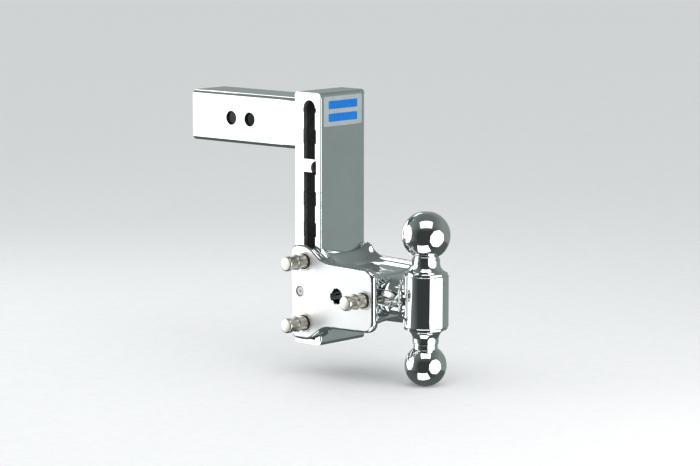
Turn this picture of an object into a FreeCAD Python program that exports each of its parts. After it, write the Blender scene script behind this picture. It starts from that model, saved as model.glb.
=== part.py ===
import FreeCAD, Part
import math
import os

os.makedirs("parts", exist_ok=True)

V = FreeCAD.Vector

# Frame: +X to the rear of the vehicle, +Z up, Y across. The origin is on the shank's centre line,
# on the axis of its rear hitch pin hole. All sizes are in millimetres.

# ---- clearances
slide_gap = 0.3            # head on post, per side
pin_slot_gap = 0.35        # height pin in the post's slot, per side
pin_fit = 0.10             # pin in the head's holes, radial
stem_fit = 0.05            # swivel stem in its bore, radial
cross_hole_gap = 0.30      # stem pin in the stem's cross hole, radial
plug_gap = 0.35            # wear plug to the post's side

# ---- receiver shank
shank_size = 63.5          # 2.5 inch receiver
shank_wall = 6.35
shank_corner = 6.5
shank_front = -99.5
hitch_hole_radius = 8.73   # 11/16 inch hole for a 5/8 inch hitch pin
hitch_hole_pitch = 31.75

# ---- post
post_front = 84.5
post_depth = 43.0
post_width = 80.0
post_wall = 6.35
post_corner = 1.5
post_top = 41.0
post_tail = 66.5           # stem axis to the post's lower end
cap_thickness = 6.0
cap_edge = 5.0             # round of a cap's front and rear edges

# ---- drop and swivel stem
drop = 203.2               # shank centre line to stem axis
barrel_x = 262.0           # hitch pin hole to ball axis
stem_radius = 22.225
stem_inner_gap = 0.9       # stem's inner end to the post's rear face

# ---- pins
pin_radius = 9.0
height_pin_x = 109.0
height_pin_pitch = 76.2
stem_pin_x = 205.5
stem_hole_pitch = 44.45

# ---- slots in the post's sides
slot_top = 31.5
bridge_top = -40.5
bridge_bottom = -56.5
slot_tail = 59.8           # stem axis to the lower slot's end
pocket_pitch = height_pin_pitch / 2
pocket_height = 17.0
rear_pocket_depth = 1.6
front_pocket_depth = 0.6

# ---- head
plate_thickness = 8.7
ear_half_height = 57.5
lower_ear_half_height = 60.0
head_front = 84.5
head_rear = 221.0
waist_half_height = 38.5
lower_waist_half_height = 41.0
block_rear = 214.0
block_saddle = 48.0        # the saddle's height behind the post
plate_edge_round = 3.0
hole_chamfer = 0.9

# ---- dual ball
large_ball_radius = 29.37  # 2 5/16 inch
small_ball_radius = 25.40  # 2 inch
ball_height = 78.9         # each ball's centre to the stem axis
barrel_radius = 27.5
barrel_half_height = 31.5
upper_neck = 17.0          # radius between the barrel and the large ball
lower_neck = 15.8
large_joint = 50.5         # stem axis to where each ball meets the barrel's neck
small_joint = 51.0

# ---- welds
weld_leg = 2.5             # shank to post
stem_weld_leg = 6.0        # stem to barrel

# ---- rear label
label_half_width = 34.5
label_top = 36.0
label_bottom = -0.5
label_thickness = 0.5

# ---- wear plugs
plug_x = 101.0
plug_radius = 6.5
plug_recess = 1.0

# ---- the three removable pins, each with its grip on the -Y side
flange_radius = pin_radius + 2.4
flange_thickness = 2.2
grip_length = 34.0
neck_radius = pin_radius - 0.9
cap_length = 7.0
clip_groove_radius = pin_radius - 1.8
clip_thickness = 1.8
clip_radius = pin_radius + 0.9
clip_offset = 16.5         # plate to the clip ring on the grip
ring_groove_radius = pin_radius - 1.2
ring_section = 1.0
nose_length = 14.0
nose_ring_offset = 6.0
nose_ring_width = 2.4
stem_pin_clear = 0.35      # shaft halves of the stem pin to the stem's side

stem_z = -drop
first_pocket_z = stem_z + height_pin_pitch / 2
post_rear = post_front + post_depth
half_post = post_width / 2
plate_inner = half_post + slide_gap
plate_outer = plate_inner + plate_thickness
post_bottom = stem_z - post_tail
slot_bottom = stem_z - slot_tail
grip_start = -plate_outer - grip_length
clip_y = -plate_outer - clip_offset
ring_y = -plate_outer - flange_thickness - ring_section
nose_end = plate_outer + nose_length
nose_ring_y = plate_outer + nose_ring_offset
nose_ring_groove = pin_radius - 2.0


def cylinder_y(radius, x, z, y0, y1):
    return Part.makeCylinder(radius, y1 - y0, V(x, y0, z), V(0, 1, 0))


def cylinder_x(radius, z, x0, x1):
    return Part.makeCylinder(radius, x1 - x0, V(x0, 0, z), V(1, 0, 0))


def box(x0, x1, y0, y1, z0, z1):
    return Part.makeBox(x1 - x0, y1 - y0, z1 - z0, V(x0, y0, z0))


def edges_along(shape, direction):
    """Straight edges of a shape that run along one axis."""
    found = []
    for edge in shape.Edges:
        if not isinstance(edge.Curve, Part.Line):
            continue
        if abs(abs(edge.tangentAt(edge.FirstParameter).dot(direction)) - 1) < 1e-6:
            found.append(edge)
    return found


def one_solid(shape):
    """The single solid of a boolean result, with its split faces joined."""
    clean = shape.removeSplitter()
    return clean.Solids[0] if len(clean.Solids) == 1 else clean


def revolved(points, centre):
    """A closed profile of (radius, height) points turned round a vertical axis.
    A triple of points stands for an arc through its three points."""
    edges = []
    last = None
    for item in points:
        if len(item) == 3:
            a, b, c = [V(centre.x + r, centre.y, centre.z + h) for r, h in item]
            if last is not None and (last - a).Length > 1e-7:
                edges.append(Part.LineSegment(last, a).toShape())
            edges.append(Part.Arc(a, b, c).toShape())
            last = c
            continue
        point = V(centre.x + item[0], centre.y, centre.z + item[1])
        if last is not None and (last - point).Length > 1e-7:
            edges.append(Part.LineSegment(last, point).toShape())
        last = point
    first = edges[0].Vertexes[0].Point
    if (last - first).Length > 1e-7:
        edges.append(Part.LineSegment(last, first).toShape())
    face = Part.Face(Part.Wire(edges))
    solid = face.revolve(centre, V(0, 0, 1), 360)
    return Part.Solid(solid.Shells[0]) if not solid.Solids else solid.Solids[0]


def rounded_frame(size, corner, x):
    """A square wire with round corners, across the X axis."""
    h = size / 2
    k = h - corner
    q = corner * math.sqrt(0.5)
    edges = []
    corners = [(1, 1), (-1, 1), (-1, -1), (1, -1)]
    for i, (sy, sz) in enumerate(corners):
        side = V(x, sy * h, sz * k)
        cap = V(x, sy * k, sz * h)
        middle = V(x, sy * (k + q), sz * (k + q))
        start, end = (side, cap) if i % 2 == 0 else (cap, side)
        ny, nz = corners[(i + 1) % 4]
        after = V(x, ny * k, nz * h) if i % 2 == 0 else V(x, ny * h, nz * k)
        edges.append(Part.Arc(start, middle, end).toShape())
        edges.append(Part.LineSegment(end, after).toShape())
    return Part.Wire(edges)


def shank_outer(x0, x1):
    body = Part.Face(rounded_frame(shank_size, shank_corner, x0))
    return body.extrude(V(x1 - x0, 0, 0))


def make_shank():
    tube = shank_outer(shank_front, post_front)
    inner = shank_size / 2 - shank_wall
    tube = tube.cut(box(shank_front - 1, post_front + 1, -inner, inner, -inner, inner))
    for x in (0.0, -hitch_hole_pitch):
        tube = tube.cut(cylinder_y(hitch_hole_radius, x, 0, -shank_size, shank_size))
    return one_solid(tube)


def make_shank_weld():
    wide = shank_size + 2 * weld_leg
    base = rounded_frame(wide, shank_corner + weld_leg, post_front)
    top = rounded_frame(shank_size + 0.4, shank_corner + 0.2, post_front - weld_leg)
    bead = Part.makeLoft([base, top], True, True)
    return one_solid(bead.cut(shank_outer(post_front - 2 * weld_leg, post_front + 1)))


def slot_cutter(z0, z1, top_round):
    """One stretch of side slot, with a pocket in both its sides at each pin height."""
    half = pin_radius + pin_slot_gap
    x0 = height_pin_x - half
    x1 = height_pin_x + half
    y = half_post + 5
    cutter = box(x0, x1, -y, y, z0, z1)
    if top_round:
        cutter = box(x0, x1, -y, y, z0, z1 - half)
        cutter = cutter.fuse(cylinder_y(half, height_pin_x, z1 - half, -y, y))
    lowest = int(math.ceil((z0 + pocket_height / 2 - first_pocket_z) / pocket_pitch))
    highest = int(math.floor((z1 - half - first_pocket_z) / pocket_pitch))
    for i in range(lowest, highest + 1):
        z = first_pocket_z + i * pocket_pitch
        cutter = cutter.fuse(box(x0 - front_pocket_depth, x1 + rear_pocket_depth, -y, y,
                                 z - pocket_height / 2, z + pocket_height / 2))
    return cutter


def make_post():
    z0 = post_bottom + cap_thickness
    z1 = post_top - cap_thickness
    outer = box(post_front, post_rear, -half_post, half_post, z0, z1)
    outer = outer.makeFillet(post_corner, edges_along(outer, V(0, 0, 1)))
    inner = box(post_front + post_wall, post_rear - post_wall,
                -half_post + post_wall, half_post - post_wall, z0 - 1, z1 + 1)
    tube = outer.cut(inner)
    tube = tube.cut(slot_cutter(bridge_top, slot_top, True))
    tube = tube.cut(slot_cutter(slot_bottom, bridge_bottom, False))
    rear = height_pin_x + pin_radius + pin_slot_gap + rear_pocket_depth
    y = half_post + 5
    bridge_middle = (bridge_top + bridge_bottom) / 2
    nearest = round((bridge_middle - first_pocket_z) / pocket_pitch)
    between = first_pocket_z + nearest * pocket_pitch
    notch = cylinder_y(pocket_height / 2, rear, between, -y, y)
    notch = notch.common(box(post_front, rear, -y, y, bridge_bottom - pocket_height, bridge_top))
    return one_solid(tube.cut(notch))


def make_cap(z0, z1, outer_z):
    plate = box(post_front, post_rear, -half_post, half_post, z0, z1)
    ends = [e for e in edges_along(plate, V(0, 1, 0)) if abs(e.CenterOfMass.z - outer_z) < 1e-6]
    plate = plate.makeFillet(cap_edge, ends)
    column = box(post_front, post_rear, -half_post, half_post, z0 - 1, z1 + 1)
    column = column.makeFillet(post_corner, edges_along(column, V(0, 0, 1)))
    return one_solid(plate.common(column))


def make_label():
    plate = box(post_rear, post_rear + label_thickness, -label_half_width, label_half_width,
                label_bottom, label_top)
    return plate.makeFillet(3.0, edges_along(plate, V(1, 0, 0))).Solids[0]


def side_outline(ear, waist):
    """Half of the head's side outline, from front to rear, with each corner's radius."""
    return [
        (head_front, ear, 11.0),
        (head_front + 31.0, ear, 15.0),
        (head_front + 55.5, waist + 1.0, 20.0),
        (head_rear, waist - 1.0, 14.0),
    ]


def make_side_plate():
    upper = side_outline(ear_half_height, waist_half_height)
    lower = reversed(side_outline(lower_ear_half_height, lower_waist_half_height))
    lower = [(x, -z, r) for x, z, r in lower]
    points = upper + lower
    corners = [V(x, plate_inner, stem_z + z) for x, z, r in points]
    wire = Part.makePolygon(corners + [corners[0]])
    plate = Part.Face(wire).extrude(V(0, plate_outer - plate_inner, 0))
    for x, z, r in points:
        edge = [e for e in edges_along(plate, V(0, 1, 0))
                if abs(e.CenterOfMass.x - x) < 1e-4 and abs(e.CenterOfMass.z - stem_z - z) < 1e-4]
        plate = plate.makeFillet(r, edge)
    rim = [e for e in plate.Edges if abs(e.BoundBox.YMin - plate_outer) < 1e-5]
    return plate.makeFillet(plate_edge_round, rim).Solids[0]


def make_block():
    """The solid middle of the head, between its side plates, with a saddle behind the post."""
    front = post_rear + slide_gap
    upper = [
        (front, block_saddle),
        (front + 7.0, block_saddle),
        (front + 26.0, waist_half_height - 6.0),
        (block_rear, waist_half_height - 8.0),
    ]
    points = upper + [(x, -z) for x, z in reversed(upper)]
    corners = [V(x, -plate_inner - 2.0, stem_z + z) for x, z in points]
    face = Part.Face(Part.makePolygon(corners + [corners[0]]))
    block = face.extrude(V(0, 2 * plate_inner + 4.0, 0))
    return block.makeFillet(5.0, [e for e in edges_along(block, V(0, 1, 0))
                                  if e.CenterOfMass.x > front + 1])


def chamfered_hole(x, z, radius, y0, y1):
    """A cross hole with a small chamfer at each outer mouth."""
    tool = cylinder_y(radius, x, z, y0 - 1, y1 + 1)
    near = Part.makeCone(radius + hole_chamfer, radius, hole_chamfer, V(x, y0, z), V(0, 1, 0))
    far = Part.makeCone(radius + hole_chamfer, radius, hole_chamfer, V(x, y1, z), V(0, -1, 0))
    return tool.fuse([near, far])


def make_head():
    plate = make_side_plate()
    mirrored = plate.mirror(V(0, 0, 0), V(0, 1, 0))
    head = make_block().fuse([plate, mirrored]).removeSplitter()
    head = head.cut(cylinder_x(stem_radius + stem_fit, stem_z, post_rear, head_rear + 1))
    holes = [(height_pin_x, stem_z + s * height_pin_pitch / 2) for s in (1, -1)]
    holes += [(stem_pin_x, stem_z), (stem_pin_x - stem_hole_pitch, stem_z)]
    for x, z in holes:
        head = head.cut(chamfered_hole(x, z, pin_radius + pin_fit, -plate_outer, plate_outer))
    head = head.cut(cylinder_y(plug_radius, plug_x, stem_z, -plate_outer - 1, plate_outer + 1))
    return one_solid(head)


def make_plugs():
    """Two wear plugs pressed into the side plates, bearing on the post's sides."""
    y0 = half_post + plug_gap
    y1 = plate_outer - plug_recess
    far = cylinder_y(plug_radius, plug_x, stem_z, y0, y1)
    far = far.makeChamfer(0.8, [e for e in far.Edges if abs(e.BoundBox.YMin - y1) < 1e-6])
    near = far.mirror(V(0, 0, 0), V(0, 1, 0))
    return Part.makeCompound([far.Solids[0], near.Solids[0]])


def turned_pin(sections):
    """Coaxial turned sections along +Y: (y0, y1, radius) or (y0, y1, radius at y0, radius at y1)."""
    pin = None
    for s in sections:
        if len(s) == 3 or abs(s[2] - s[3]) < 1e-9:
            piece = cylinder_y(s[2], 0, 0, s[0], s[1])
        else:
            piece = Part.makeCone(s[2], s[3], s[1] - s[0], V(0, s[0], 0), V(0, 1, 0))
        pin = piece if pin is None else pin.fuse(piece)
    return one_solid(pin)


def grip_sections():
    """The grip, from its outer end to the flange that stops against the side plate."""
    return [
        (grip_start, grip_start + 1.4, pin_radius - 1.4, pin_radius),
        (grip_start + 1.4, grip_start + cap_length, pin_radius),
        (grip_start + cap_length, grip_start + cap_length + 1.0, pin_radius, neck_radius),
        (grip_start + cap_length + 1.0, clip_y - clip_thickness, neck_radius),
        (clip_y - clip_thickness, clip_y - clip_thickness / 2, pin_radius),
        (clip_y - clip_thickness / 2, clip_y + clip_thickness / 2, clip_groove_radius),
        (clip_y + clip_thickness / 2, clip_y + clip_thickness * 1.2, pin_radius),
        (clip_y + clip_thickness * 1.2, ring_y - ring_section - 1.5, neck_radius),
        (ring_y - ring_section - 1.5, ring_y - ring_section, pin_radius),
        (ring_y - ring_section, -plate_outer - flange_thickness, ring_groove_radius),
        (-plate_outer - flange_thickness, -plate_outer, flange_radius),
    ]


def nose_sections(start):
    """The shaft from start to its nose, with the spring ring's groove outside the far plate."""
    return [
        (start, nose_ring_y - nose_ring_width / 2, pin_radius),
        (nose_ring_y - nose_ring_width / 2, nose_ring_y + nose_ring_width / 2, nose_ring_groove),
        (nose_ring_y + nose_ring_width / 2, nose_end - 2.5, pin_radius),
        (nose_end - 2.5, nose_end, pin_radius, pin_radius - 2.5),
    ]


def placed(shape, x, z):
    moved = shape.copy()
    moved.translate(V(x, 0, z))
    return moved


def split_ring(outer, inner, y, width, gap_angle):
    """A flat spring ring round the pin's axis, with its gap facing down."""
    ring = cylinder_y(outer, 0, 0, y - width / 2, y + width / 2)
    ring = ring.cut(cylinder_y(inner, 0, 0, y - width, y + width))
    half = outer * math.sin(math.radians(gap_angle) / 2)
    return one_solid(ring.cut(box(-half, half, y - width, y + width, -2 * outer, 0)))


def make_pin_ring():
    return Part.makeTorus(ring_groove_radius + ring_section, ring_section,
                          V(0, ring_y, 0), V(0, 1, 0))


def make_dual_ball():
    """The barrel with its two flared collars, and a ball on each end."""
    centre = V(barrel_x, 0, stem_z)
    b = barrel_radius
    h = barrel_half_height
    flare = 12.5
    k = math.sqrt(0.5)
    upper_end = large_joint
    lower_end = small_joint
    rim = 1.2
    uc = (upper_neck + flare, upper_end - 4.5)
    lc = (lower_neck + flare, lower_end - 4.5)

    def flare_arc(c, sign):
        start = (c[0] - flare, sign * c[1])
        middle = (c[0] - flare * k, sign * (c[1] - flare * k))
        end_r = b - rim - 0.3
        end = (end_r, sign * (c[1] - math.sqrt(flare ** 2 - (c[0] - end_r) ** 2)))
        return start, middle, end

    top = flare_arc(uc, 1)
    low = flare_arc(lc, -1)
    barrel = revolved([
        (0, upper_end), (upper_neck - 0.8, upper_end), (upper_neck, upper_end - 0.8),
        top, (b - rim, h + 0.4), (b, h - rim), (b, -h + rim), (b - rim, -h - 0.4),
        tuple(reversed(low)), (lower_neck, -lower_end + 0.8), (lower_neck - 0.8, -lower_end),
        (0, -lower_end)], centre)

    def ball(radius, neck, sign, joint, flat):
        def on_sphere(r, side):
            return r, sign * (ball_height + side * math.sqrt(radius ** 2 - r ** 2))
        arc = (on_sphere(neck, -1), (radius, sign * ball_height), on_sphere(flat, 1))
        return revolved([(0, sign * joint), (neck, sign * joint), arc,
                         (0, arc[2][1])], centre)

    large = ball(large_ball_radius, upper_neck - 1.4, 1, upper_end, 8.5)
    small = ball(small_ball_radius, lower_neck - 1.2, -1, lower_end, 7.5)
    return barrel, large, small


def make_stem(barrel):
    start = post_rear + stem_inner_gap
    stem = cylinder_x(stem_radius, stem_z, start, barrel_x)
    stem = stem.makeChamfer(1.5, [e for e in stem.Edges if abs(e.BoundBox.XMax - start) < 1e-6])
    stem = stem.cut(barrel)
    radius = pin_radius + cross_hole_gap
    for x in (stem_pin_x, stem_pin_x - stem_hole_pitch):
        stem = stem.cut(cylinder_y(radius, x, stem_z, -stem_radius - 1, stem_radius + 1))
    return one_solid(stem)


def make_stem_weld(barrel, stem):
    """The bead where the stem meets the barrel."""
    around_stem = cylinder_x(stem_radius + stem_weld_leg, stem_z,
                             barrel_x - barrel_radius - stem_weld_leg - 2, barrel_x)
    around_barrel = Part.makeCylinder(barrel_radius + stem_weld_leg, 4 * stem_radius,
                                      V(barrel_x, 0, stem_z - 2 * stem_radius), V(0, 0, 1))
    bead = around_stem.common(around_barrel)
    bead = bead.cut(Part.makeCylinder(barrel_radius, 4 * stem_radius,
                                      V(barrel_x, 0, stem_z - 2 * stem_radius), V(0, 0, 1)))
    bead = bead.cut(cylinder_x(stem_radius, stem_z, post_rear, barrel_x))
    front = box(post_rear, barrel_x, -60, 60, stem_z - barrel_half_height + 0.5,
                stem_z + barrel_half_height - 0.5)
    return one_solid(bead.common(front))


def build():
    nodes = {
        "receiver_shank": make_shank(),
        "shank_weld": make_shank_weld(),
        "post_tube": make_post(),
        "post_top_cap": make_cap(post_top - cap_thickness, post_top, post_top),
        "post_bottom_cap": make_cap(post_bottom, post_bottom + cap_thickness, post_bottom),
        "rear_label": make_label(),
        "head_casting": make_head(),
        "wear_plugs": make_plugs(),
    }
    barrel, large, small = make_dual_ball()
    stem = make_stem(barrel)
    nodes["swivel_stem"] = stem
    nodes["stem_weld"] = make_stem_weld(barrel, stem)
    nodes["ball_barrel"] = barrel
    nodes["large_ball"] = large
    nodes["small_ball"] = small

    half_pitch = height_pin_pitch / 2
    full_pin = turned_pin(grip_sections() + nose_sections(-plate_outer))
    inner = stem_radius + stem_pin_clear
    grip_half = turned_pin(grip_sections() + [(-plate_outer, -inner, pin_radius)])
    nose_half = turned_pin(nose_sections(inner))
    clip = split_ring(clip_radius, clip_groove_radius, clip_y, clip_thickness * 0.9, 50)
    spring = split_ring(pin_radius - 0.05, nose_ring_groove, nose_ring_y, nose_ring_width - 0.2, 30)
    seal = make_pin_ring()
    places = {
        "upper_pin": (height_pin_x, stem_z + half_pitch),
        "lower_pin": (height_pin_x, stem_z - half_pitch),
        "stem_pin": (stem_pin_x, stem_z),
    }
    for name, (x, z) in places.items():
        nodes[name] = placed(grip_half if name == "stem_pin" else full_pin, x, z)
        nodes[name + "_clip"] = placed(clip, x, z)
        nodes[name + "_seal"] = placed(seal, x, z)
        nodes[name + "_spring_ring"] = placed(spring, x, z)
    nodes["stem_pin_nose"] = placed(nose_half, *places["stem_pin"])
    return nodes


for node, shape in build().items():
    if not shape.isValid():
        print("invalid:", node)
    shape.exportStep("parts/" + node + ".step")
    print(node, len(shape.Solids), round(shape.Volume / 1000.0, 2), "cm3")
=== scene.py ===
import bmesh
import bpy
import math
from mathutils import Matrix, Vector


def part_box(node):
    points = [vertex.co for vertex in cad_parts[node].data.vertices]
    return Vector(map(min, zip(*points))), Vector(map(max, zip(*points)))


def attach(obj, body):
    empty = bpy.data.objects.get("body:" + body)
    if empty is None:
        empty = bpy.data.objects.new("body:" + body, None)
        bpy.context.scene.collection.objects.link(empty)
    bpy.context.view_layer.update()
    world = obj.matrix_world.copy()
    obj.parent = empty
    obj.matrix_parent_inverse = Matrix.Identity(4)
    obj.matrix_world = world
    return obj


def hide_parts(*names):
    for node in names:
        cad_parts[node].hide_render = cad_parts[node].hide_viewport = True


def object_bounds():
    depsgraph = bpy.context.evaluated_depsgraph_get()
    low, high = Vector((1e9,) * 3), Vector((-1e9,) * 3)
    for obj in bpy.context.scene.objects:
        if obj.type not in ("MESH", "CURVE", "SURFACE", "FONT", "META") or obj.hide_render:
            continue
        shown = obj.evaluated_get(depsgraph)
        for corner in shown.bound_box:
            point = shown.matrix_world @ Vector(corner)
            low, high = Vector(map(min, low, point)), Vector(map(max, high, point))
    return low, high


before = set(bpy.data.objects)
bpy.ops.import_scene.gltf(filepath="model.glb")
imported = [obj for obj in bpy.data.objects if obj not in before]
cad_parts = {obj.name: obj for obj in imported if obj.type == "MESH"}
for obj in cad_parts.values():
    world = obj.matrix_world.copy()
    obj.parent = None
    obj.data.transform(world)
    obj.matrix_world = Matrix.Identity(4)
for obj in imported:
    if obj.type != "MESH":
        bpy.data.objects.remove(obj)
cad_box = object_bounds()

MM = 0.001

# ---- sizes shared with the CAD nodes, in metres
shank_low, shank_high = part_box("receiver_shank")
post_low, post_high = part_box("post_tube")
top_cap_low, top_cap_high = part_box("post_top_cap")
bottom_cap_low, bottom_cap_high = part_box("post_bottom_cap")
label_low, label_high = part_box("rear_label")
head_low, head_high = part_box("head_casting")
stem_low, stem_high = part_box("swivel_stem")
barrel_low, barrel_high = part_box("ball_barrel")
upper_low, upper_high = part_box("upper_pin")
lower_low, lower_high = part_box("lower_pin")
grip_low, grip_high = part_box("stem_pin")

stem_z = (grip_low.z + grip_high.z) / 2
ball_x = (barrel_low.x + barrel_high.x) / 2
slot_x = (upper_low.x + upper_high.x) / 2
upper_pin_z = (upper_low.z + upper_high.z) / 2
lower_pin_z = (lower_low.z + lower_high.z) / 2
stem_pin_x = (grip_low.x + grip_high.x) / 2
pin_pitch = upper_pin_z - lower_pin_z
plate_outer = head_high.y

tube_wall = 6.35 * MM
shank_corner = 6.5 * MM
post_corner = 1.5 * MM
plate_gap = post_high.y + 0.3 * MM
hitch_hole = 8.73 * MM
hitch_pitch = 31.75 * MM
pin_hole = 9.1 * MM
stem_radius = 22.225 * MM
barrel_radius = 27.5 * MM
slot_half = 9.35 * MM
pocket_half = 8.5 * MM
pocket_front = 0.6 * MM
pocket_rear = 1.6 * MM
upper_slot_ends = (31.5 * MM, -40.5 * MM)
lower_slot_ends = (-56.5 * MM, -263 * MM)
stem_hole = 9.3 * MM
spare_x = stem_pin_x - 44.45 * MM
plug_x = 101 * MM
plug_seat = 6.5 * MM
stub_start = 22.575        # the stem pin's stubs, from the stem's axis, in mm


# ------------------------------------------------------------------ bench tools
def put_down():
    """Leaves edit mode and lets go of everything."""
    if bpy.context.object and bpy.context.object.mode != "OBJECT":
        bpy.ops.object.mode_set(mode="OBJECT")
    bpy.ops.object.select_all(action="DESELECT")


def pick_up(piece):
    put_down()
    bpy.context.view_layer.objects.active = piece
    piece.select_set(True)


def christen(name):
    piece = bpy.context.object
    piece.name = name
    piece.data.name = name
    return piece


def settle(piece):
    """Puts a piece's place and turn into its mesh."""
    pick_up(piece)
    bpy.ops.object.transform_apply(location=True, rotation=True, scale=True)
    return piece


def block(name, low, high):
    """A square block between two corners."""
    put_down()
    low, high = Vector(low), Vector(high)
    bpy.ops.mesh.primitive_cube_add(size=1, location=(low + high) / 2)
    piece = christen(name)
    piece.scale = high - low
    return settle(piece)


def choose(piece, kind, test):
    """In edit mode, selects only the faces, edges or vertices that pass the test."""
    pick_up(piece)
    bpy.ops.object.mode_set(mode="EDIT")
    bpy.ops.mesh.select_mode(type=kind)
    bpy.ops.mesh.select_all(action="DESELECT")
    shape = bmesh.from_edit_mesh(piece.data)
    parts = {"FACE": shape.faces, "EDGE": shape.edges, "VERT": shape.verts}[kind]
    for part in parts:
        if test(part):
            part.select_set(True)
    bmesh.update_edit_mesh(piece.data)


def runs_along(edge, axis):
    a, b = [v.co for v in edge.verts]
    d = (b - a).normalized()
    return abs(d["XYZ".index(axis)]) > 0.999


def middle(edge):
    return (edge.verts[0].co + edge.verts[1].co) / 2


def round_off(piece, radius, segments, test):
    """Rounds the edges that pass the test."""
    choose(piece, "EDGE", test)
    bpy.ops.mesh.bevel(offset=radius, segments=segments, profile=0.5, clamp_overlap=True)
    put_down()


def face_outwards(piece):
    pick_up(piece)
    bpy.ops.object.mode_set(mode="EDIT")
    bpy.ops.mesh.select_all(action="SELECT")
    bpy.ops.mesh.remove_doubles(threshold=0.000002)
    bpy.ops.mesh.normals_make_consistent(inside=False)
    put_down()


def apply(piece, kind, **settings):
    """Adds one modifier with its settings and applies it."""
    pick_up(piece)
    step = piece.modifiers.new(kind.lower(), kind)
    for key, value in settings.items():
        setattr(step, key, value)
    bpy.ops.object.modifier_apply(modifier=step.name)


def cut(piece, *cutters):
    """Takes the cutters out of a piece and throws them away."""
    for cutter in cutters:
        apply(piece, "BOOLEAN", operation="DIFFERENCE", solver="EXACT", object=cutter)
        bpy.data.objects.remove(cutter)
    return piece


def weld_on(piece, *others):
    for other in others:
        apply(piece, "BOOLEAN", operation="UNION", solver="EXACT", object=other)
        bpy.data.objects.remove(other)
    return piece


def break_edges(piece, width, segments=3, angle=35):
    """A fine round on every sharp edge, with the flat faces kept truly flat."""
    apply(piece, "BEVEL", width=width, segments=segments, limit_method="ANGLE",
          angle_limit=math.radians(angle), harden_normals=True, use_clamp_overlap=True,
          miter_outer="MITER_ARC")


def polish(piece, angle=30):
    pick_up(piece)
    bpy.ops.object.shade_smooth_by_angle(angle=math.radians(angle))
    put_down()


def true_flats(piece):
    """Keeps large flat faces flat in their shading, beside the rounds that leave them."""
    apply(piece, "WEIGHTED_NORMAL", mode="FACE_AREA", weight=50, keep_sharp=True)


def duplicate(piece, name, move=(0, 0, 0)):
    """A copy with its own mesh, moved into place."""
    copy = piece.copy()
    copy.data = piece.data.copy()
    copy.name = name
    copy.data.name = name
    bpy.context.scene.collection.objects.link(copy)
    copy.location = Vector(copy.location) + Vector(move)
    return settle(copy)


def arc(radius_at, height_at, radius, start, end, steps):
    """Points of (radius, height) along an arc, with its angles in degrees."""
    points = []
    for i in range(steps + 1):
        a = math.radians(start + (end - start) * i / steps)
        points.append((radius_at + radius * math.cos(a), height_at + radius * math.sin(a)))
    return points


def turned(name, stations, centre, axis="Z", steps=128):
    """A piece turned on a lathe: a disc is drawn out and resized from station to station,
    each a (radius, height) pair along the axis."""
    put_down()
    radius, height = stations[0]
    bpy.ops.mesh.primitive_circle_add(vertices=steps, radius=radius, fill_type="NGON",
                                      location=(0, 0, 0))
    piece = christen(name)
    bpy.ops.object.mode_set(mode="EDIT")
    bpy.ops.transform.translate(value=(0, 0, height))
    for new_radius, new_height in stations[1:]:
        if abs(new_radius - radius) < 1e-7 and abs(new_height - height) < 1e-7:
            continue
        bpy.ops.mesh.extrude_region_move(
            TRANSFORM_OT_translate={"value": (0, 0, new_height - height)})
        share = new_radius / radius
        bpy.ops.transform.resize(value=(share, share, 1))
        radius, height = new_radius, new_height
    bpy.ops.object.mode_set(mode="OBJECT")
    piece.rotation_euler = {"Z": (0, 0, 0), "Y": (-math.pi / 2, 0, 0), "X": (0, math.pi / 2, 0)}[axis]
    piece.location = centre
    settle(piece)
    face_outwards(piece)
    return piece


def mm(*stations):
    return [(r * MM, h * MM) for r, h in stations]


# ------------------------------------------------------------------ finishes
def finish_nodes(name):
    material = bpy.data.materials.new(name)
    material.use_nodes = True
    tree = material.node_tree
    return material, tree, tree.nodes["Principled BSDF"]


def join(tree, a, out, b, into):
    tree.links.new(a.outputs[out], b.inputs[into])


def placed_coords(tree, centre=(0, 0, 0), scale=(1, 1, 1)):
    coords = tree.nodes.new("ShaderNodeTexCoord")
    mapping = tree.nodes.new("ShaderNodeMapping")
    mapping.vector_type = "TEXTURE"
    mapping.inputs["Location"].default_value = centre
    mapping.inputs["Scale"].default_value = scale
    join(tree, coords, "Object", mapping, "Vector")
    return mapping


def noise(tree, coords, scale, detail=3.0, rough=0.5):
    node = tree.nodes.new("ShaderNodeTexNoise")
    node.inputs["Scale"].default_value = scale
    node.inputs["Detail"].default_value = detail
    node.inputs["Roughness"].default_value = rough
    join(tree, coords, "Vector", node, "Vector")
    return node


def spread(tree, source, out, low, high, from_low=0.3, from_high=0.7):
    node = tree.nodes.new("ShaderNodeMapRange")
    node.inputs["From Min"].default_value = from_low
    node.inputs["From Max"].default_value = from_high
    node.inputs["To Min"].default_value = low
    node.inputs["To Max"].default_value = high
    join(tree, source, out, node, "Value")
    return node


def tint(tree, source, out, dark, light):
    ramp = tree.nodes.new("ShaderNodeValToRGB")
    ramp.color_ramp.elements[0].position = 0.3
    ramp.color_ramp.elements[0].color = (*dark, 1)
    ramp.color_ramp.elements[1].position = 0.7
    ramp.color_ramp.elements[1].color = (*light, 1)
    join(tree, source, out, ramp, "Fac")
    return ramp


def relief(tree, shader, layers):
    """Stacks bump layers of (node, output, depth in metres, strength)."""
    last = None
    for node, out, depth, strength in layers:
        bump = tree.nodes.new("ShaderNodeBump")
        bump.inputs["Distance"].default_value = depth
        bump.inputs["Strength"].default_value = strength
        join(tree, node, out, bump, "Height")
        if last:
            join(tree, last, "Normal", bump, "Normal")
        last = bump
    join(tree, last, "Normal", shader, "Normal")


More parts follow.
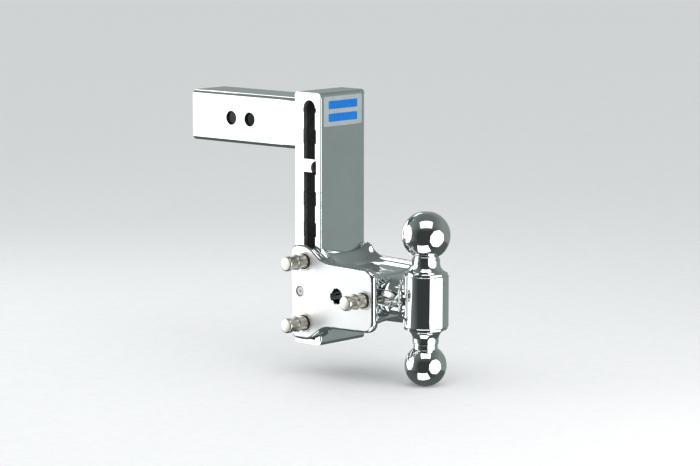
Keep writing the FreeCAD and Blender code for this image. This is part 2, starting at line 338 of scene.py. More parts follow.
def chrome(name, dark, light, gloss, hairlines, swell):
    """Chrome plate over ground steel: hairlines from the belt along one axis, a soft swell in
    the polish, and a little cloud in the plating."""
    material, tree, shader = finish_nodes(name)
    plain = placed_coords(tree)
    cloud = noise(tree, plain, 28, 4, 0.6)
    join(tree, tint(tree, cloud, "Fac", dark, light), "Color", shader, "Base Color")
    shader.inputs["Metallic"].default_value = 1.0
    belt = noise(tree, placed_coords(tree, scale=hairlines), 1400, 2)
    smear = noise(tree, plain, 120, 5, 0.7)
    mixed = tree.nodes.new("ShaderNodeMath")
    mixed.operation = "MULTIPLY_ADD"
    mixed.inputs[1].default_value = 0.5
    join(tree, belt, "Fac", mixed, 0)
    half = spread(tree, smear, "Fac", 0.0, 0.5)
    join(tree, half, "Result", mixed, 2)
    rough = spread(tree, mixed, "Value", gloss[0], gloss[1], 0.1, 0.9)
    join(tree, rough, "Result", shader, "Roughness")
    wave = noise(tree, plain, 18, 2)
    relief(tree, shader, [(wave, "Fac", swell, 0.35), (belt, "Fac", 0.000004, 0.2)])
    return material


def turned_metal(name, centre, dark, light, gloss, pitch):
    """Metal left from the lathe: fine rings along and across the Y axis through the centre."""
    material, tree, shader = finish_nodes(name)
    coords = placed_coords(tree, centre=centre)
    plain = placed_coords(tree)
    stain = noise(tree, plain, 90, 3, 0.5)
    join(tree, tint(tree, stain, "Fac", dark, light), "Color", shader, "Base Color")
    shader.inputs["Metallic"].default_value = 1.0
    lines = tree.nodes.new("ShaderNodeTexWave")
    lines.wave_type = "BANDS"
    lines.bands_direction = "Y"
    lines.inputs["Scale"].default_value = 0.314 / pitch
    lines.inputs["Distortion"].default_value = 1.5
    join(tree, coords, "Vector", lines, "Vector")
    rings = tree.nodes.new("ShaderNodeTexWave")
    rings.wave_type = "RINGS"
    rings.rings_direction = "Y"
    rings.inputs["Scale"].default_value = 0.314 / pitch
    rings.inputs["Distortion"].default_value = 1.0
    join(tree, coords, "Vector", rings, "Vector")
    grain = noise(tree, plain, 2600, 3)
    rough = spread(tree, stain, "Fac", gloss[0], gloss[1])
    join(tree, rough, "Result", shader, "Roughness")
    relief(tree, shader, [(lines, "Fac", 0.000008, 0.3), (rings, "Fac", 0.000008, 0.3),
                          (grain, "Fac", 0.000003, 0.3)])
    return material


def soft_stuff(name, dark, light, gloss, grain_scale, depth, metallic=0.0):
    """Rubber, printed vinyl and spring steel: a fine grain with a cloudy colour."""
    material, tree, shader = finish_nodes(name)
    plain = placed_coords(tree)
    cloud = noise(tree, plain, 90, 4, 0.6)
    join(tree, tint(tree, cloud, "Fac", dark, light), "Color", shader, "Base Color")
    shader.inputs["Metallic"].default_value = metallic
    grain = noise(tree, plain, grain_scale, 3)
    rough = spread(tree, grain, "Fac", gloss[0], gloss[1])
    join(tree, rough, "Result", shader, "Roughness")
    relief(tree, shader, [(grain, "Fac", depth, 0.5)])
    shader.inputs["Specular IOR Level"].default_value = 0.3
    return material


def wear(piece, *materials):
    """Gives a piece its finish; a second finish goes to the faces already marked as slot 1."""
    marked = [f.index for f in piece.data.polygons if f.material_index == 1]
    piece.data.materials.clear()
    for material in materials:
        piece.data.materials.append(material)
    for f in piece.data.polygons:
        f.material_index = 0
    if len(materials) > 1:
        for index in marked:
            piece.data.polygons[index].material_index = 1


def mark_inside(piece, test):
    """Marks the faces that pass the test for a piece's second finish."""
    while len(piece.data.materials) < 2:
        piece.data.materials.append(None)
    for f in piece.data.polygons:
        if test(f):
            f.material_index = 1


bar_chrome = chrome("bar chrome, ground lengthwise", (0.70, 0.735, 0.73), (0.76, 0.79, 0.785),
                    (0.012, 0.05), (60, 1, 1), 0.00005)
post_chrome = chrome("post chrome, ground upright", (0.70, 0.735, 0.73), (0.76, 0.79, 0.785),
                     (0.012, 0.05), (1, 1, 60), 0.00005)
cast_chrome = chrome("chrome over polished casting", (0.69, 0.72, 0.73), (0.76, 0.785, 0.80),
                     (0.015, 0.06), (1, 1, 1), 0.00018)
ball_chrome = chrome("mirror chrome, spun", (0.68, 0.71, 0.71), (0.74, 0.765, 0.765),
                     (0.01, 0.035), (1, 1, 0.05), 0.00003)
bead_chrome = chrome("chrome over weld bead", (0.66, 0.69, 0.70), (0.76, 0.78, 0.79),
                     (0.03, 0.10), (1, 1, 1), 0.00025)
nickel_dark, nickel_light = (0.58, 0.56, 0.49), (0.66, 0.645, 0.57)
# The plates' flat outer faces: the satin roughness is their finish. The pale base colour and the
# lowered metallic are a painted reflection, standing in for the white glare of the left softbox on
# these faces.
satin_face_painted_glare = chrome("satin plate face, paled to paint the softbox glare", (0.87, 0.88, 0.885), (0.91, 0.92, 0.92),
                     (0.38, 0.46), (1, 1, 1), 0.00002)
satin_face_painted_glare.node_tree.nodes["Principled BSDF"].inputs["Metallic"].default_value = 0.6
# The near-black colour on the shank's inner faces and hitch-hole walls is painted shade. It stands in
# for the shade inside the tube and is not a colour of the steel.
tube_inside_painted_shade = soft_stuff("painted shade inside a tube", (0.012, 0.013, 0.013), (0.026, 0.028, 0.028),
                         (0.35, 0.55), 900, 0.00003)
# The dark grey colour on the post's inner faces and slot walls is painted shade, seen through the
# slots. It is not a colour of the steel.
post_inside_painted_shade = soft_stuff("painted shade inside the post", (0.07, 0.075, 0.075), (0.12, 0.125, 0.125),
                       (0.35, 0.55), 900, 0.00003)
spring_steel = soft_stuff("spring steel wire", (0.42, 0.40, 0.34), (0.58, 0.56, 0.50),
                          (0.18, 0.34), 1800, 0.00001, 1.0)
seal_rubber = soft_stuff("black seal rubber", (0.018, 0.018, 0.019), (0.035, 0.035, 0.036),
                         (0.45, 0.7), 2200, 0.00003)
decal_grey = soft_stuff("grey decal vinyl", (0.31, 0.35, 0.355), (0.36, 0.40, 0.405),
                        (0.22, 0.32), 1500, 0.000006)
decal_blue = soft_stuff("blue decal ink", (0.001, 0.14, 0.50), (0.003, 0.17, 0.57),
                        (0.22, 0.32), 1500, 0.000006)


# ------------------------------------------------------------------ camera, floor and light
view_azimuth = math.radians(42)
view_pitch = math.radians(8)
camera_place = (2.4910, -2.6116, 0.3612)
to_right = Vector((math.cos(view_azimuth), math.sin(view_azimuth), 0))
to_front = Vector((math.sin(view_azimuth), -math.cos(view_azimuth), 0))

put_down()
bpy.ops.object.camera_add(location=camera_place,
                          rotation=(math.pi / 2 - view_pitch, 0, view_azimuth))
camera = bpy.context.object
camera.data.lens = 148.89
camera.data.sensor_width = 36
camera.data.clip_end = 200
bpy.context.scene.camera = camera
bpy.context.scene.view_settings.view_transform = "Standard"


def glow(name, color, strength):
    material = bpy.data.materials.new(name)
    material.use_nodes = True
    tree = material.node_tree
    tree.nodes.remove(tree.nodes["Principled BSDF"])
    light = tree.nodes.new("ShaderNodeEmission")
    light.inputs["Color"].default_value = (*color, 1)
    light.inputs["Strength"].default_value = strength
    join(tree, light, "Emission", tree.nodes["Material Output"], "Surface")
    return material


ball_centre = Vector((ball_x, 0, barrel_high.z + 0.028))


def studio_panel(name, sides, half_wide, half_high, turn, lift, distance, strength, color):
    """A lit panel that faces the balls, turned so many degrees to the camera's right and
    lifted so many above level."""
    put_down()
    a, e = math.radians(turn), math.radians(lift)
    level = to_front * math.cos(a) + to_right * math.sin(a)
    away = level * math.cos(e) + Vector((0, 0, math.sin(e)))
    bpy.ops.mesh.primitive_circle_add(vertices=sides, radius=1, fill_type="NGON")
    panel = christen(name)
    settle_turn = math.pi / sides
    panel.data.transform(Matrix.Rotation(settle_turn, 4, "Z"))
    grow = 1 / math.cos(settle_turn)
    panel.scale = (half_wide * grow, half_high * grow, 1)
    panel.rotation_euler = away.to_track_quat("Z", "Y").to_euler()
    panel.location = ball_centre + away * distance
    wear(panel, glow(name + " light", color, strength))
    panel.visible_camera = False
    return panel


studio_panel("left_softbox", 8, 0.80, 0.72, -102, 3, 1.5, 2.2, (0.97, 0.99, 1.0))
studio_panel("right_softbox", 8, 0.62, 0.60, 54, -9, 0.9, 2.6, (1.0, 1.0, 1.0))
studio_panel("overhead_panel", 4, 0.62, 0.42, 0, 62, 1.3, 2.6, (1.0, 1.0, 1.0))
studio_panel("rear_strip", 4, 0.50, 0.11, -150, 33, 1.2, 2.4, (1.0, 1.0, 1.0))
studio_panel("low_panel", 4, 0.52, 0.42, -20, -60, 1.2, 2.2, (1.0, 1.0, 1.0))


def studio_world():
    """A dim room in front and below, with a pale grey wall behind and to the right."""
    world = bpy.data.worlds.new("studio")
    bpy.context.scene.world = world
    world.use_nodes = True
    tree = world.node_tree
    nodes = tree.nodes
    nodes.clear()
    coords = nodes.new("ShaderNodeTexCoord")
    behind = nodes.new("ShaderNodeVectorMath")
    behind.operation = "DOT_PRODUCT"
    behind.inputs[1].default_value = -to_front
    join(tree, coords, "Generated", behind, 0)
    wall = nodes.new("ShaderNodeMapRange")
    wall.inputs["From Min"].default_value = -0.75
    wall.inputs["From Max"].default_value = 0.05
    join(tree, behind, "Value", wall, "Value")
    split = nodes.new("ShaderNodeSeparateXYZ")
    join(tree, coords, "Generated", split, "Vector")
    floor_line = nodes.new("ShaderNodeMapRange")
    floor_line.inputs["From Min"].default_value = -0.36
    floor_line.inputs["From Max"].default_value = -0.30
    floor_line.inputs["To Min"].default_value = 0.25
    join(tree, split, "Z", floor_line, "Value")
    lit = nodes.new("ShaderNodeMath")
    lit.operation = "MULTIPLY"
    join(tree, wall, "Result", lit, 0)
    join(tree, floor_line, "Result", lit, 1)
    room = nodes.new("ShaderNodeMixRGB")
    room.inputs["Color1"].default_value = (0.050, 0.056, 0.056, 1)
    room.inputs["Color2"].default_value = (0.30, 0.345, 0.335, 1)
    join(tree, lit, "Value", room, "Fac")
    ceiling = nodes.new("ShaderNodeMapRange")
    ceiling.inputs["From Min"].default_value = 0.45
    ceiling.inputs["From Max"].default_value = 0.9
    join(tree, split, "Z", ceiling, "Value")
    roof = nodes.new("ShaderNodeMixRGB")
    roof.inputs["Color2"].default_value = (0.17, 0.19, 0.19, 1)
    join(tree, ceiling, "Result", roof, "Fac")
    join(tree, room, "Color", roof, "Color1")
    seen = nodes.new("ShaderNodeBackground")
    join(tree, roof, "Color", seen, "Color")
    soft = nodes.new("ShaderNodeBackground")
    soft.inputs["Color"].default_value = (0.86, 0.875, 0.88, 1)
    soft.inputs["Strength"].default_value = 1.0
    path = nodes.new("ShaderNodeLightPath")
    chosen = nodes.new("ShaderNodeMixShader")
    join(tree, path, "Is Glossy Ray", chosen, "Fac")
    tree.links.new(soft.outputs[0], chosen.inputs[1])
    tree.links.new(seen.outputs[0], chosen.inputs[2])
    out = nodes.new("ShaderNodeOutputWorld")
    join(tree, chosen, "Shader", out, "Surface")


studio_world()

put_down()
bpy.ops.mesh.primitive_plane_add(size=60, location=(0, 0, cad_box[0][2] - 0.0004))
floor = settle(christen("floor"))
wear(floor, soft_stuff("pale studio floor", (0.78, 0.79, 0.79), (0.82, 0.825, 0.825),
                       (0.55, 0.7), 400, 0.00002))
floor.visible_glossy = False


# ------------------------------------------------------------------ shank and post
def make_shank():
    low, high = shank_low, shank_high
    bar = block("shank_bar", low, high)
    round_off(bar, shank_corner, 14, lambda e: runs_along(e, "X"))
    inner = Vector((0, tube_wall, tube_wall))
    past = Vector((2 * MM, 0, 0))
    cut(bar, block("bore", low + inner - past, high - inner + past))
    for x in (0.0, -hitch_pitch):
        reach = high.y + 2 * MM
        cut(bar, turned("drill", [(hitch_hole, -reach), (hitch_hole, reach)], (x, 0, 0), "Y"))
    inner_y = high.y - tube_wall + 0.05 * MM
    # The tube's inner faces and the walls of the hitch holes take the second finish, the painted
    # shade.
    mark_inside(bar, lambda f: max(abs(f.center.y), abs(f.center.z)) < inner_y
                or (abs(f.center.y) < high.y - 0.5 * MM and abs(f.center.z) < hitch_hole
                    and abs(f.normal.y) < 0.1 and abs(f.normal.x) < 0.999))
    break_edges(bar, 0.5 * MM)
    return bar


def side_slot(name, top, bottom, round_top):
    """Cutters for one stretch of side slot, with a pocket at each pin height."""
    half = slot_half
    reach = post_high.y + 5 * MM
    end = top - half if round_top else top
    cutters = [block(name, (slot_x - half, -reach, bottom), (slot_x + half, reach, end))]
    if round_top:
        cutters.append(turned(name + "_end", [(half, -reach), (half, reach)],
                              (slot_x, 0, end), "Y", 64))
    for step in range(-2, 7):
        z = upper_pin_z + step * pin_pitch / 2
        low, high = z - pocket_half, min(z + pocket_half, end)
        if low > bottom and high <= end and high - low > 4 * MM:
            past = reach + 1 * MM
            cutters.append(block(name + "_pocket", (slot_x - half - pocket_front, -past, low),
                                 (slot_x + half + pocket_rear, past, high)))
    return cutters


def make_post():
    tube = block("post_tube_wall", post_low, post_high)
    round_off(tube, post_corner, 8, lambda e: runs_along(e, "Z"))
    inner = Vector((tube_wall, tube_wall, 0))
    past = Vector((0, 0, 2 * MM))
    cut(tube, block("hollow", post_low + inner - past, post_high - inner + past))
    cut(tube, *side_slot("upper_slot", *upper_slot_ends, True))
    cut(tube, *side_slot("lower_slot", *lower_slot_ends, False))
    reach = post_high.y + 5 * MM
    rear = slot_x + slot_half + pocket_rear
    notch_z = upper_pin_z + 1.5 * pin_pitch
    notch = turned("notch", [(pocket_half, -reach), (pocket_half, reach)],
                   (rear, 0, notch_z), "Y", 64)
    cut(notch, block("keep_front", (rear, -2 * reach, notch_z - 0.05),
                     (rear + 0.05, 2 * reach, notch_z + 0.05)))
    cut(tube, notch)
    inner_x = tube_wall - 0.05 * MM
    # The post's inner faces and slot walls take the second finish, the painted shade.
    mark_inside(tube, lambda f: abs(f.center.y) < post_high.y - 0.5 * MM
                and post_low.x + inner_x < f.center.x < post_high.x - inner_x)
    break_edges(tube, 0.25 * MM, 2)
    return tube


def make_cap(name, low, high, outer_z):
    cap = block(name, low, high)
    round_off(cap, 5 * MM, 10, lambda e: runs_along(e, "Y") and abs(middle(e).z - outer_z) < 1e-5)
    inner_z = low.z + high.z - outer_z
    round_off(cap, 1.2 * MM, 4, lambda e: abs(middle(e).z - inner_z) > 1e-5
              and all(abs(v.co.y) > high.y - 1e-6 for v in e.verts))
    polish(cap, 25)
    true_flats(cap)
    return cap


def make_shank_weld():
    """A rippled bead laid round the shank where it meets the post."""
    half = shank_high.y
    put_down()
    bpy.ops.curve.primitive_bezier_circle_add(radius=half)
    bead = christen("shank_weld_bead")
    spline = bead.data.splines
    spline.clear()
    run = spline.new("POLY")
    points = []
    straight = half - shank_corner
    for corner in range(4):
        turn = math.radians(90 * corner)
        for i in range(9):
            a = turn + math.radians(90 * i / 8)
            y = straight * (math.cos(turn) - math.sin(turn)) + shank_corner * math.cos(a)
            z = straight * (math.sin(turn) + math.cos(turn)) + shank_corner * math.sin(a)
            points.append((y, z))
    run.points.add(len(points) - 1)
    for point, (y, z) in zip(run.points, points):
        point.co = (post_low.x - 0.2 * MM, y, z, 1)
    run.use_cyclic_u = True
    bead.data.dimensions = "3D"
    bead.data.bevel_depth = 2.0 * MM
    bead.data.bevel_resolution = 5
    pick_up(bead)
    bpy.ops.object.convert(target="MESH")
    bead = christen("shank_weld_bead")
    settle(bead)
    choose(bead, "EDGE", lambda e: e.calc_length() > 20 * MM)
    bpy.ops.mesh.subdivide(number_cuts=60)
    put_down()
    for v in bead.data.vertices:
        across = Vector((0, v.co.y, v.co.z))
        along = (v.co.y if abs(v.co.z) > abs(v.co.y) else v.co.z) / (3.0 * MM)
        ripple = 0.16 * MM * math.cos(2 * math.pi * along)
        v.co += across.normalized() * ripple
    face_outwards(bead)
    polish(bead, 60)
    return bead


def make_label():
    plate = block("decal_plate", label_low, label_high)
    round_off(plate, 3 * MM, 8, lambda e: runs_along(e, "X"))
    round_off(plate, 0.15 * MM, 2, lambda e: abs(middle(e).x - label_high.x) < 1e-6)
    polish(plate, 30)
    true_flats(plate)
    return plate


def make_label_bar(name, low_z, high_z):
    """A plain printed bar, a little proud of the decal."""
    bar = block(name, (label_high.x - 0.2 * MM, -26 * MM, low_z),
                (label_high.x + 0.08 * MM, 26 * MM, high_z))
    round_off(bar, 1.6 * MM, 6, lambda e: runs_along(e, "X"))
    polish(bar, 30)
    true_flats(bar)
    return bar


# ------------------------------------------------------------------ head
def make_side_plate():
    """One side plate: a tall ear over the post, drawn down to a waist at the rear."""
    outer, inner = -plate_outer, 2 * MM - plate_gap
    ear, low_ear = head_high.z - stem_z, stem_z - head_low.z
    ear_end, waist_start = head_low.x + 31 * MM, head_low.x + 55.5 * MM
    stages = ((waist_start, 39.5 * MM, 42 * MM), (head_high.x, 37.5 * MM, 40 * MM))
    plate = block("side_plate", (head_low.x, outer, stem_z - low_ear), (ear_end, inner, stem_z + ear))
    last_x, top, foot = ear_end, ear, low_ear
    for x, new_top, new_foot in stages:
        choose(plate, "FACE", lambda f: f.normal.x > 0.99
               and abs(f.calc_center_median().x - last_x) < 1e-5)
        bpy.ops.mesh.extrude_region_move(TRANSFORM_OT_translate={"value": (x - last_x, 0, 0)})
        share = (new_top + new_foot) / (top + foot)
        still = stem_z + (new_top - share * top) / (1 - share)
        bpy.ops.transform.resize(value=(1, 1, share), center_override=(0, 0, still))
        last_x, top, foot = x, new_top, new_foot
    rounds = [(head_low.x, 11.0), (ear_end, 8.0), (waist_start, 11.0), (head_high.x, 13.6)]
    for x, offset in rounds:
        round_off(plate, offset * MM, 10,
                  lambda e: runs_along(e, "Y") and abs(middle(e).x - x) < 1e-5)
    choose(plate, "FACE", lambda f: f.normal.y < -0.99)
    bpy.ops.mesh.region_to_loop()
    bpy.ops.mesh.bevel(offset=3 * MM, segments=8, profile=0.5)
    put_down()
    return plate


def make_saddle():
    """The solid middle of the head: a high lip behind the post, dished between the plates."""
    stations = [(128.3, 43.5, 12.0), (129.5, 45.0, 11.0), (132.0, 45.5, 10.0), (134.5, 44.5, 10.0),
                (138.0, 40.5, 12.0), (144.0, 34.0, 12.0), (152.0, 31.0, 10.0), (165.0, 30.0, 8.0),
                (190.0, 29.5, 7.5), (210.0, 29.0, 7.0), (212.8, 28.0, 6.5), (214.0, 26.0, 5.0)]
    across = 40
    put_down()
    bpy.ops.mesh.primitive_grid_add(x_subdivisions=len(stations) - 1, y_subdivisions=across, size=1)
    saddle = christen("saddle")
    for v in saddle.data.vertices:
        i = round((v.co.x + 0.5) * (len(stations) - 1))
        x, low, rise = stations[i]
        share = abs(v.co.y) * 2
        v.co = (x * MM, v.co.y * 2 * 42 * MM, (low + rise * share ** 3.2) * MM)
    pick_up(saddle)
    bpy.ops.object.mode_set(mode="EDIT")
    bpy.ops.mesh.select_all(action="SELECT")
    bpy.ops.mesh.extrude_region_move(TRANSFORM_OT_translate={"value": (0, 0, 0)})
    bpy.ops.transform.resize(value=(1, 1, -1), center_override=(0, 0, 0))
    bpy.ops.object.mode_set(mode="OBJECT")
    saddle.location = (0, 0, stem_z)
    settle(saddle)
    face_outwards(saddle)
    return saddle


def pin_drill(x, z):
    """A cross hole through both plates, with a chamfer at each mouth."""
    end = plate_outer + 1 * MM
    mouth = pin_hole + 0.9 * MM
    return turned("drill", [(mouth + 1 * MM, -end), (pin_hole, -plate_outer + 0.9 * MM),
                            (pin_hole, plate_outer - 0.9 * MM), (mouth + 1 * MM, end)],
                  (x, 0, z), "Y", 96)


def make_head():
    near = make_side_plate()
    far = duplicate(near, "far_plate")
    pick_up(far)
    far.scale = (1, -1, 1)
    settle(far)
    face_outwards(far)
    head = weld_on(make_saddle(), near, far)
    head.name = "head_casting_body"
    apply(head, "REMESH", mode="VOXEL", voxel_size=1.0 * MM)
    smooth_cast(head)
    cut(head, block("post_way", (head_low.x - 5 * MM, -plate_gap, stem_z - 0.1),
                    (post_high.x + 0.3 * MM, plate_gap, stem_z + 0.1)))
    cut(head, turned("stem_bore", [(stem_radius + 0.05 * MM, post_high.x - 5 * MM),
                                   (stem_radius + 0.05 * MM, head_high.x + 5 * MM)],
                     (0, 0, stem_z), "X"))
    holes = ((slot_x, upper_pin_z), (slot_x, lower_pin_z), (stem_pin_x, stem_z), (spare_x, stem_z))
    for x, z in holes:
        cut(head, pin_drill(x, z))
    cut(head, turned("plug_seat", [(plug_seat, -60 * MM), (plug_seat, 60 * MM)],
                     (plug_x, 0, stem_z), "Y", 64))
    polish(head, 32)
    # The flat outer faces take the second finish, whose pale colour is the painted softbox reflection.
    face = plate_outer - 0.02 * MM
    mark_inside(head, lambda f: abs(f.normal.y) > 0.999 and abs(f.center.y) > face)
    return head


def smooth_cast(head):
    """Eases the cast surface while its outer side faces stay flat."""
    limit = plate_outer - 0.05 * MM
    soft = head.vertex_groups.new(name="cast")
    eased = [v.index for v in head.data.vertices if abs(v.co.y) < limit]
    soft.add(eased, 1.0, "REPLACE")
    apply(head, "SMOOTH", factor=0.5, iterations=36, vertex_group="cast")


def make_plugs():
    """Two wear plugs, each with a chamfered face and a centre mark."""
    face = plate_outer - 1 * MM
    inner = plate_gap + 0.05 * MM
    stations = [(6.45 * MM, inner), (6.45 * MM, face - 1.3 * MM), (5.3 * MM, face),
                (1.6 * MM, face), (0.4 * MM, face - 1.0 * MM)]
    far = turned("wear_plug_pair", stations, (plug_x, 0, stem_z), "Y", 64)
    near = duplicate(far, "near_plug")
    pick_up(near)
    near.scale = (1, -1, 1)
    settle(near)
    face_outwards(near)
    pick_up(far)
    near.select_set(True)
    bpy.ops.object.join()
    polish(far, 25)
    return far


# ------------------------------------------------------------------ stem, barrel and balls
def make_stem():
    start = stem_low.x
    stem = turned("stem_bar", [(stem_radius - 1.5 * MM, start), (stem_radius, start + 1.5 * MM),
                               (stem_radius, ball_x - 10 * MM)], (0, 0, stem_z), "X")
    for x in (stem_pin_x, spare_x):
        cut(stem, turned("drill", [(stem_hole, -30 * MM), (stem_hole, 30 * MM)],
                         (x, 0, stem_z), "Y", 96))
    break_edges(stem, 0.4 * MM, 2, 40)
    polish(stem, 30)
    return stem


def make_stem_weld():
    """A heavy hand-laid fillet bead, wrapped to the barrel, with stacked ripples."""
    around, section = 288, 20
    ripples = 20
    put_down()
    bpy.ops.mesh.primitive_torus_add(major_segments=around, minor_segments=section,
                                     major_radius=stem_radius, minor_radius=6.4 * MM,
                                     rotation=(0, math.pi / 2, 0))
    bead = christen("stem_weld_bead")
    settle(bead)
    reach = barrel_radius
    for v in bead.data.vertices:
        angle = math.atan2(v.co.z, v.co.y)
        out = math.hypot(v.co.y, v.co.z) - stem_radius
        y = math.cos(angle) * stem_radius
        hug = math.sqrt(reach ** 2 - min(abs(y), reach - 1 * MM) ** 2)
        lead = 0.5 - 0.5 * math.cos(ripples * angle + 110 * v.co.x / 5.2)
        wander = math.sin(5 * angle + 1.3) + 0.6 * math.sin(11 * angle + 0.4)
        swell = 1 + 0.13 * lead + 0.07 * wander
        new_out = max(out, -3 * MM) * swell * 0.80
        radius = stem_radius + new_out
        v.co.y = math.cos(angle) * radius
        v.co.z = math.sin(angle) * radius
        v.co.x = v.co.x * (1.08 + 0.10 * lead) - hug + ball_x
        v.co.z += stem_z
    face_outwards(bead)
    polish(bead, 70)
    return bead


def make_barrel():
    b, h = barrel_radius / MM, 31.5
    rim, flare = 1.2, 12.5
    upper_neck, lower_neck = 17.0, 15.8
    upper_y, lower_y = 46.0, 46.5
    inner = b - rim - 0.3

    def flare_points(neck, centre, side):
        """The flare from the barrel's shoulder in to the neck, on one side."""
        axis_r = neck + flare
        start = math.degrees(math.acos((inner - axis_r) / flare))
        points = arc(axis_r, -centre, flare, start, 180, 14)
        return [(r, side * -height) for r, height in points]

    stations = [(lower_neck - 0.8, -51.0), (lower_neck, -50.2)]
    stations += list(reversed(flare_points(lower_neck, lower_y, -1)))
    stations += [(b - rim, -h - 0.4)]
    stations += arc(b - rim, -h + rim, rim, -80, 0, 5)
    stations += arc(b - rim, h - rim, rim, 0, 80, 5)
    stations += [(b - rim, h + 0.4)]
    stations += flare_points(upper_neck, upper_y, 1)
    stations += [(upper_neck, 49.7), (upper_neck - 0.8, 50.5)]
    barrel = turned("barrel_body", mm(*stations), (ball_x, 0, stem_z), "Z", 160)
    polish(barrel, 14)
    return barrel


def make_ball(name, radius, neck, joint, flat, side):
    """One ball on its throat, with a small collar at the joint and a flat on its end."""
    height = 78.9
    start = -math.degrees(math.acos(neck / radius))
    end = math.degrees(math.acos(flat / radius))
    stations = [(neck + 0.4, joint), (neck + 0.9, joint + 0.5), (neck + 0.9, joint + 1.0),
                (neck + 0.4, joint + 1.5), (neck, joint + 1.7)]
    stations += arc(0, height, radius, start, end, 60)
    stations += [(flat * 0.98, stations[-1][1] + 0.02)]
    ball = turned(name, mm(*stations), (ball_x, 0, stem_z), "Z", 160)
    if side < 0:
        pick_up(ball)
        bpy.ops.object.mode_set(mode="EDIT")
        bpy.ops.mesh.select_all(action="SELECT")
        bpy.ops.transform.resize(value=(1, 1, -1), center_override=(ball_x, 0, stem_z))
        put_down()
        face_outwards(ball)
    polish(ball, 12)
    return ball


# ------------------------------------------------------------------ pins
grip = 34.0
plate = plate_outer / MM
grip_start = -plate - grip
clip_at = -plate - 16.5
seal_at = -plate - 2.2 - 1.0
nose_end = plate + 14.0
nose_ring = plate + 6.0


def grip_stations():
    """The grip from its end cap to the flange, as (radius, height) along the pin."""
    s = grip_start
    return ([(7.2, s), (7.9, s + 0.15), (8.5, s + 0.55), (8.85, s + 1.1), (9.0, s + 1.8),
             (9.0, s + 6.4), (8.85, s + 6.9), (8.2, s + 7.5), (8.1, s + 8.0),
             (8.1, clip_at - 2.4), (8.25, clip_at - 2.1), (8.85, clip_at - 1.8), (9.0, clip_at - 1.5),
             (9.0, clip_at - 1.0), (8.8, clip_at - 0.9), (7.2, clip_at - 0.9),
             (7.2, clip_at + 0.9), (8.8, clip_at + 0.9), (9.0, clip_at + 1.1),
             (9.0, clip_at + 1.9), (8.8, clip_at + 2.2), (8.1, clip_at + 2.6),
             (8.1, seal_at - 2.8), (8.8, seal_at - 2.5), (9.0, seal_at - 2.2),
             (9.0, seal_at - 1.15), (8.8, seal_at - 1.0), (7.8, seal_at - 1.0),
             (7.8, -plate - 2.2), (11.0, -plate - 2.2), (11.3, -plate - 2.05), (11.4, -plate - 1.7),
             (11.4, -plate)])


def nose_stations(start):
    return [(9.0, start), (9.0, nose_ring - 1.4), (8.8, nose_ring - 1.2), (7.0, nose_ring - 1.2),
            (7.0, nose_ring + 1.2), (8.8, nose_ring + 1.2), (9.0, nose_ring + 1.4),
            (9.0, nose_end - 3.0), (8.8, nose_end - 2.2), (7.2, nose_end - 0.5), (6.5, nose_end)]


def split_ring(name, outer, inner, at, wide, gap):
    """A sprung ring with its ends apart at the bottom."""
    r = 0.25
    stations = [(outer - r, at - wide / 2), (outer, at - wide / 2 + r), (outer, at + wide / 2 - r),
                (outer - r, at + wide / 2)]
    ring = turned(name, mm(*stations), (0, 0, 0), "Y", 96)
    cut(ring, turned("hole", mm((inner, at - wide), (inner, at + wide)), (0, 0, 0), "Y", 96))
    half = gap / 2
    cut(ring, block("gap", (-half * MM, (at - wide) * MM, -2 * outer * MM),
                    (half * MM, (at + wide) * MM, 0)))
    break_edges(ring, 0.1 * MM, 2)
    polish(ring, 30)
    return ring


def make_seal():
    """A rubber ring with the fine mould line round its outside."""
    section = 1.0
    put_down()
    bpy.ops.mesh.primitive_torus_add(major_segments=96, minor_segments=24,
                                     major_radius=(7.8 + section) * MM, minor_radius=section * MM,
                                     rotation=(math.pi / 2, 0, 0), location=(0, seal_at * MM, 0))
    seal = christen("seal")
    settle(seal)
    middle_y = seal_at * MM
    for v in seal.data.vertices:
        r = math.hypot(v.co.x, v.co.z)
        if abs(v.co.y - middle_y) < 0.1 * MM and r > (7.8 + section) * MM:
            grow = 1 + 0.05 * MM / r
            v.co.x *= grow
            v.co.z *= grow
    polish(seal, 80)
    return seal


# ------------------------------------------------------------------ assembly
def fit(piece, body, slot_name, finish, *nodes):
    """Gives a finished piece its finish, its body, and the CAD nodes it stands for."""
    finishes = finish if isinstance(finish, tuple) else (finish,)
    wear(piece, *finishes)
    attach(piece, body)
    if nodes:
        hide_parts(*nodes)


fit(make_shank(), "post", "chrome", (bar_chrome, tube_inside_painted_shade), "receiver_shank")
fit(make_post(), "post", "chrome", (post_chrome, post_inside_painted_shade), "post_tube")
fit(make_cap("top_cap_plate", top_cap_low, top_cap_high, top_cap_high.z),
    "post", "chrome", post_chrome, "post_top_cap")
fit(make_cap("bottom_cap_plate", bottom_cap_low, bottom_cap_high, bottom_cap_low.z),
    "post", "chrome", post_chrome, "post_bottom_cap")
fit(make_shank_weld(), "post", "chrome", bead_chrome, "shank_weld")
fit(make_label(), "post", "label", decal_grey, "rear_label")
for name, low_z, high_z in (("decal_bar_upper", 20.5, 30.5), ("decal_bar_lower", 5.0, 15.0)):
    fit(make_label_bar(name, low_z * MM, high_z * MM), "post", "label", decal_blue)
fit(make_head(), "head", "head_chrome", (cast_chrome, satin_face_painted_glare), "head_casting")
plug_finish = turned_metal("wear plug, faced", (plug_x, 0, stem_z), (0.42, 0.43, 0.43),
                           (0.52, 0.53, 0.53), (0.35, 0.45), 0.5 * MM)
fit(make_plugs(), "head", "plug_steel", plug_finish, "wear_plugs")
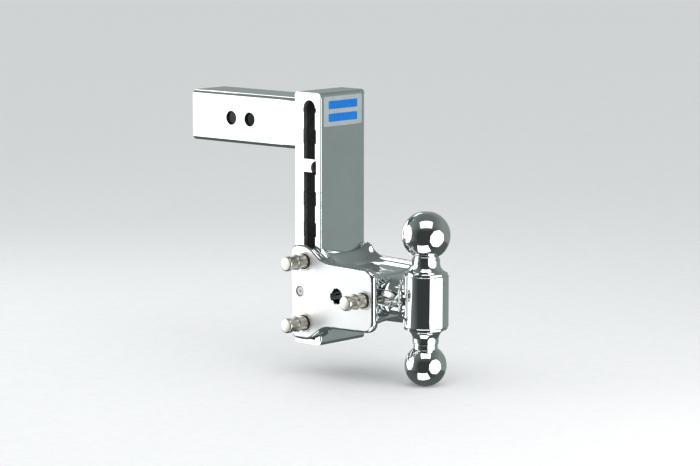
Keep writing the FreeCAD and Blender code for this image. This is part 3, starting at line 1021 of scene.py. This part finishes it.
fit(make_stem(), "ball_mount", "chrome", ball_chrome, "swivel_stem")
fit(make_stem_weld(), "ball_mount", "chrome", bead_chrome, "stem_weld")
fit(make_barrel(), "ball_mount", "ball_chrome", ball_chrome, "ball_barrel")
fit(make_ball("ball_large", 29.37, 15.6, 50.5, 8.5, 1), "ball_mount", "ball_chrome",
    ball_chrome, "large_ball")
fit(make_ball("ball_small", 25.40, 14.6, 51.0, 7.5, -1), "ball_mount", "ball_chrome",
    ball_chrome, "small_ball")

full_pin = turned("pin", mm(*grip_stations(), *nose_stations(-plate)), (0, 0, 0), "Y", 96)
grip_half = turned("grip", mm(*grip_stations(), (9.0, -plate), (9.0, -stub_start)), (0, 0, 0), "Y", 96)
nose_half = turned("nose", mm(*nose_stations(stub_start)), (0, 0, 0), "Y", 96)
for piece in (full_pin, grip_half, nose_half):
    polish(piece, 22)
clip = split_ring("clip", 9.9, 7.2, clip_at, 1.6, 8.0)
nose_clip = split_ring("nose_clip", 8.95, 7.0, nose_ring, 2.2, 5.0)
seal = make_seal()
pin_places = {"upper_pin": (slot_x, upper_pin_z), "lower_pin": (slot_x, lower_pin_z),
              "stem_pin": (stem_pin_x, stem_z)}
for pin, (x, z) in pin_places.items():
    move = (x, 0, z)
    nickel = turned_metal(pin + " nickel", move, nickel_dark, nickel_light, (0.24, 0.32), 0.42 * MM)
    main = grip_half if pin == "stem_pin" else full_pin
    fit(duplicate(main, pin + "_turned", move), pin, "pin_nickel", nickel, pin)
    fit(duplicate(clip, pin + "_grip_clip", move), pin, "spring_steel", spring_steel, pin + "_clip")
    fit(duplicate(seal, pin + "_ring_seal", move), pin, "seal_rubber", seal_rubber, pin + "_seal")
    fit(duplicate(nose_clip, pin + "_nose_ring", move), pin, "spring_steel", spring_steel,
        pin + "_spring_ring")
    if pin == "stem_pin":
        fit(duplicate(nose_half, "stem_pin_nose_turned", move), pin, "pin_nickel", nickel,
            "stem_pin_nose")
for pattern in (full_pin, grip_half, nose_half, clip, nose_clip, seal):
    bpy.data.objects.remove(pattern)
